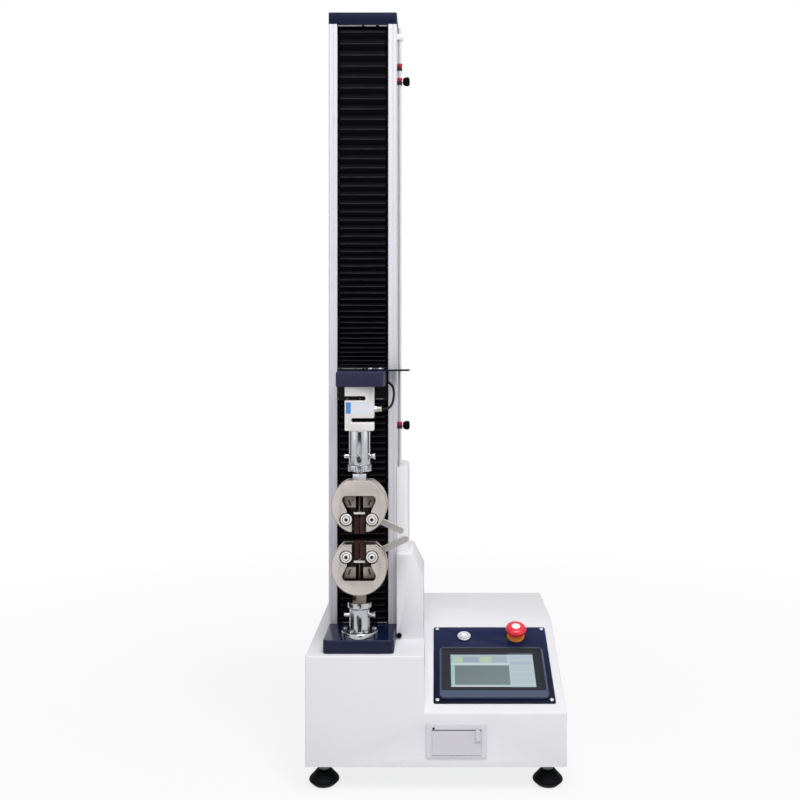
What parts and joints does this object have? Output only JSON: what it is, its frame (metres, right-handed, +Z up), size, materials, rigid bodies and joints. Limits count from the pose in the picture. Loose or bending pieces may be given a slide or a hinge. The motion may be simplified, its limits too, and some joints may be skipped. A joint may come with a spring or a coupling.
{
  "type": "universal testing machine",
  "caption": "Single-column bench-top tensile tester with a touch-screen panel, pincer grips on the loading axis, bellows on the column and adjustable travel stops.",
  "frame": {"origin": "middle of the footprint on the table, under the machine", "axes": "+Z up along the column, -Y towards the operator, +X to the operator's right"},
  "size_m": [0.46, 0.4619, 1.411],
  "materials": {
    "white_powder_coat": "satin powder coat",
    "white_column": "white powder coat",
    "navy_paint": "semi-gloss paint",
    "zinc_steel": "zinc plated",
    "ground_steel": "ground and hardened",
    "chrome_plate": "bright chrome",
    "satin_nickel": "satin nickel plate",
    "brown_oxide": "brown-black oxide",
    "load_cell_nickel": "nickel plated",
    "carriage_black": "matt paint",
    "motor_black": "matt paint",
    "pulley_aluminium": "machined",
    "board_and_supply": "circuit board and sheet case",
    "belt_rubber": "moulded",
    "foot_rubber": "moulded",
    "bellows_fabric": "coated, folded",
    "lead_rubber": "smooth",
    "limit_rod_steel": "ground",
    "red_anodised": "anodised",
    "black_knob": "moulded",
    "panel_plate": "satin",
    "screen_bezel": "moulded",
    "screen_glass": "gloss",
    "switch_bodies": "moulded",
    "button_metal": "turned",
    "stop_red": "moulded",
    "printer_grey": "moulded",
    "printer_door_grey": "moulded",
    "thermal_paper": "smooth",
    "black_plastic": "moulded",
    "rocker_black": "moulded",
    "guide_plastic": "moulded"
  },
  "bodies": {
    "machine_frame": {"base_plate": "zinc_steel", "cabinet_shell": "white_powder_coat", "column_base_block": "navy_paint", "column_bellows_frames": "carriage_black", "column_cap": "navy_paint", "column_extrusion": "white_column", "column_guides": "ground_steel", "control_electronics": "board_and_supply", "control_panel_plate": "panel_plate", "drive_belt": "belt_rubber", "drive_motor": "motor_black", "upper_bellows": "bellows_fabric", "lower_bellows": "bellows_fabric", "lower_grip_body": "satin_nickel", "lower_socket": "chrome_plate", "lower_stud": "chrome_plate", "panel_switch_bodies": "switch_bodies", "power_inlet": "black_plastic", "printer_housing": "printer_grey", "rear_panel": "white_powder_coat", "rod_guides": "guide_plastic", "side_casing": "white_powder_coat", "touchscreen_glass": "screen_glass", "touchscreen_housing": "screen_bezel"},
    "crosshead": {"crosshead_arm": "navy_paint", "crosshead_bellows_frames": "carriage_black", "crosshead_carriage": "carriage_black", "load_cell": "load_cell_nickel", "load_cell_gland": "chrome_plate", "load_cell_lead": "lead_rubber", "striker_plate": "navy_paint", "upper_grip_body": "satin_nickel", "upper_socket": "chrome_plate", "upper_stud": "chrome_plate"},
    "lead_screw": {"lead_screw": "ground_steel"},
    "motor_rotor": {"motor_pulley": "pulley_aluminium"},
    "upper_right_jaw": {"upper_right_jaw": "brown_oxide", "upper_grip_lever": "satin_nickel"},
    "upper_left_jaw": {"upper_left_jaw": "brown_oxide"},
    "lower_right_jaw": {"lower_right_jaw": "brown_oxide", "lower_grip_lever": "satin_nickel"},
    "lower_left_jaw": {"lower_left_jaw": "brown_oxide"},
    "upper_cross_pin": {"upper_cross_pin": "chrome_plate"},
    "lower_cross_pin": {"lower_cross_pin": "chrome_plate"},
    "printer_door": {"printer_door": "printer_door_grey"},
    "printer_latch": {"printer_latch": "printer_grey"},
    "paper_roll": {"paper_roll": "thermal_paper"},
    "power_button": {"power_button": "button_metal"},
    "estop_head": {"estop_head": "stop_red"},
    "rocker_switch": {"rocker_switch": "rocker_black"},
    "front_left_foot": {"front_left_foot": "foot_rubber"},
    "front_right_foot": {"front_right_foot": "foot_rubber"},
    "rear_left_foot": {"rear_left_foot": "foot_rubber"},
    "rear_right_foot": {"rear_right_foot": "foot_rubber"},
    "limit_rod": {"limit_rod": "limit_rod_steel"},
    "top_stop_ring": {"top_stop_ring": "red_anodised"},
    "upper_stop_ring": {"upper_stop_ring": "red_anodised"},
    "lower_stop_ring": {"lower_stop_ring": "red_anodised"},
    "upper_ring_knob": {"upper_ring_knob": "black_knob"},
    "lower_ring_knob": {"lower_ring_knob": "black_knob"}
  },
  "joints": [
    {"name": "crosshead_travel", "type": "slide", "parent": "machine_frame", "child": "crosshead", "axis": [0, 0, 1], "range_m": [-0.006, 0.53], "deforming": ["upper_bellows", "lower_bellows"]},
    {"name": "lead_screw_turn", "type": "hinge", "parent": "machine_frame", "child": "lead_screw", "pos_m": [-0.1375, -0.045, 0.7], "axis": [0, 0, 1], "continuous": true},
    {"name": "motor_turn", "type": "hinge", "parent": "machine_frame", "child": "motor_rotor", "pos_m": [-0.1375, 0.085, 0.205], "axis": [0, 0, 1], "continuous": true},
    {"name": "upper_right_jaw_swing", "type": "hinge", "parent": "crosshead", "child": "upper_right_jaw", "pos_m": [-0.1145, -0.179, 0.4745], "axis": [0, -1, 0], "range_deg": [0, 8]},
    {"name": "upper_left_jaw_swing", "type": "hinge", "parent": "crosshead", "child": "upper_left_jaw", "pos_m": [-0.1605, -0.179, 0.4745], "axis": [0, 1, 0], "range_deg": [0, 8]},
    {"name": "lower_right_jaw_swing", "type": "hinge", "parent": "machine_frame", "child": "lower_right_jaw", "pos_m": [-0.1145, -0.179, 0.4074], "axis": [0, 1, 0], "range_deg": [0, 8]},
    {"name": "lower_left_jaw_swing", "type": "hinge", "parent": "machine_frame", "child": "lower_left_jaw", "pos_m": [-0.1605, -0.179, 0.4074], "axis": [0, -1, 0], "range_deg": [0, 8]},
    {"name": "upper_cross_pin_pull", "type": "slide", "parent": "crosshead", "child": "upper_cross_pin", "axis": [1, 0, 0], "range_m": [0, 0.03]},
    {"name": "lower_cross_pin_pull", "type": "slide", "parent": "machine_frame", "child": "lower_cross_pin", "axis": [1, 0, 0], "range_m": [0, 0.03]},
    {"name": "printer_door_swing", "type": "hinge", "parent": "machine_frame", "child": "printer_door", "pos_m": [0.036, -0.22675, 0.06675], "axis": [1, 0, 0], "range_deg": [0, 80]},
    {"name": "printer_latch_swing", "type": "hinge", "parent": "printer_door", "child": "printer_latch", "pos_m": [0.073, -0.22965, 0.09275], "axis": [1, 0, 0], "range_deg": [0, 35]},
    {"name": "paper_roll_turn", "type": "hinge", "parent": "machine_frame", "child": "paper_roll", "pos_m": [0.036, -0.195, 0.09175], "axis": [1, 0, 0], "continuous": true},
    {"name": "power_button_press", "type": "slide", "parent": "machine_frame", "child": "power_button", "axis": [0, 0.4002, -0.9164], "range_m": [0, 0.0025], "stiffness_N_per_m": 800, "springref_m": -0.001},
    {"name": "estop_press", "type": "slide", "parent": "machine_frame", "child": "estop_head", "axis": [0, 0.4002, -0.9164], "range_m": [0, 0.005], "stiffness_N_per_m": 1500, "springref_m": -0.001},
    {"name": "rocker_tilt", "type": "hinge", "parent": "machine_frame", "child": "rocker_switch", "pos_m": [-0.15, 0.224, 0.125], "axis": [1, 0, 0], "range_deg": [-10, 10]},
    {"name": "front_left_foot_turn", "type": "hinge", "parent": "machine_frame", "child": "front_left_foot", "pos_m": [-0.2, -0.19, 0], "axis": [0, 0, 1], "range_deg": [-360, 360]},
    {"name": "front_right_foot_turn", "type": "hinge", "parent": "machine_frame", "child": "front_right_foot", "pos_m": [0.2, -0.19, 0], "axis": [0, 0, 1], "range_deg": [-360, 360]},
    {"name": "rear_left_foot_turn", "type": "hinge", "parent": "machine_frame", "child": "rear_left_foot", "pos_m": [-0.2, 0.19, 0], "axis": [0, 0, 1], "range_deg": [-360, 360]},
    {"name": "rear_right_foot_turn", "type": "hinge", "parent": "machine_frame", "child": "rear_right_foot", "pos_m": [0.2, 0.19, 0], "axis": [0, 0, 1], "range_deg": [-360, 360]},
    {"name": "limit_rod_trip", "type": "slide", "parent": "machine_frame", "child": "limit_rod", "axis": [0, 0, 1], "range_m": [-0.003, 0.003], "stiffness_N_per_m": 1000, "springref_m": 0.0026},
    {"name": "top_ring_set", "type": "slide", "parent": "limit_rod", "child": "top_stop_ring", "axis": [0, 0, 1], "range_m": [-0.012, 0.04]},
    {"name": "upper_ring_set", "type": "slide", "parent": "limit_rod", "child": "upper_stop_ring", "axis": [0, 0, 1], "range_m": [-0.3, 0.012]},
    {"name": "lower_ring_set", "type": "slide", "parent": "limit_rod", "child": "lower_stop_ring", "axis": [0, 0, 1], "range_m": [-0.06, 0.06]},
    {"name": "upper_knob_turn", "type": "hinge", "parent": "upper_stop_ring", "child": "upper_ring_knob", "pos_m": [-0.0683, -0.1, 1.283], "axis": [1, 0, 0], "range_deg": [-180, 180]},
    {"name": "lower_knob_turn", "type": "hinge", "parent": "lower_stop_ring", "child": "lower_ring_knob", "pos_m": [-0.0683, -0.1, 0.636], "axis": [1, 0, 0], "range_deg": [-180, 180]}
  ],
  "couplings": [
    {"joint": "lead_screw_turn", "follows": "crosshead_travel", "rad_per_m": -628.32},
    {"joint": "motor_turn", "follows": "crosshead_travel", "rad_per_m": -1256.6},
    {"joint": "upper_left_jaw_swing", "follows": "upper_right_jaw_swing", "ratio": 1},
    {"joint": "lower_left_jaw_swing", "follows": "lower_right_jaw_swing", "ratio": 1}
  ]
}
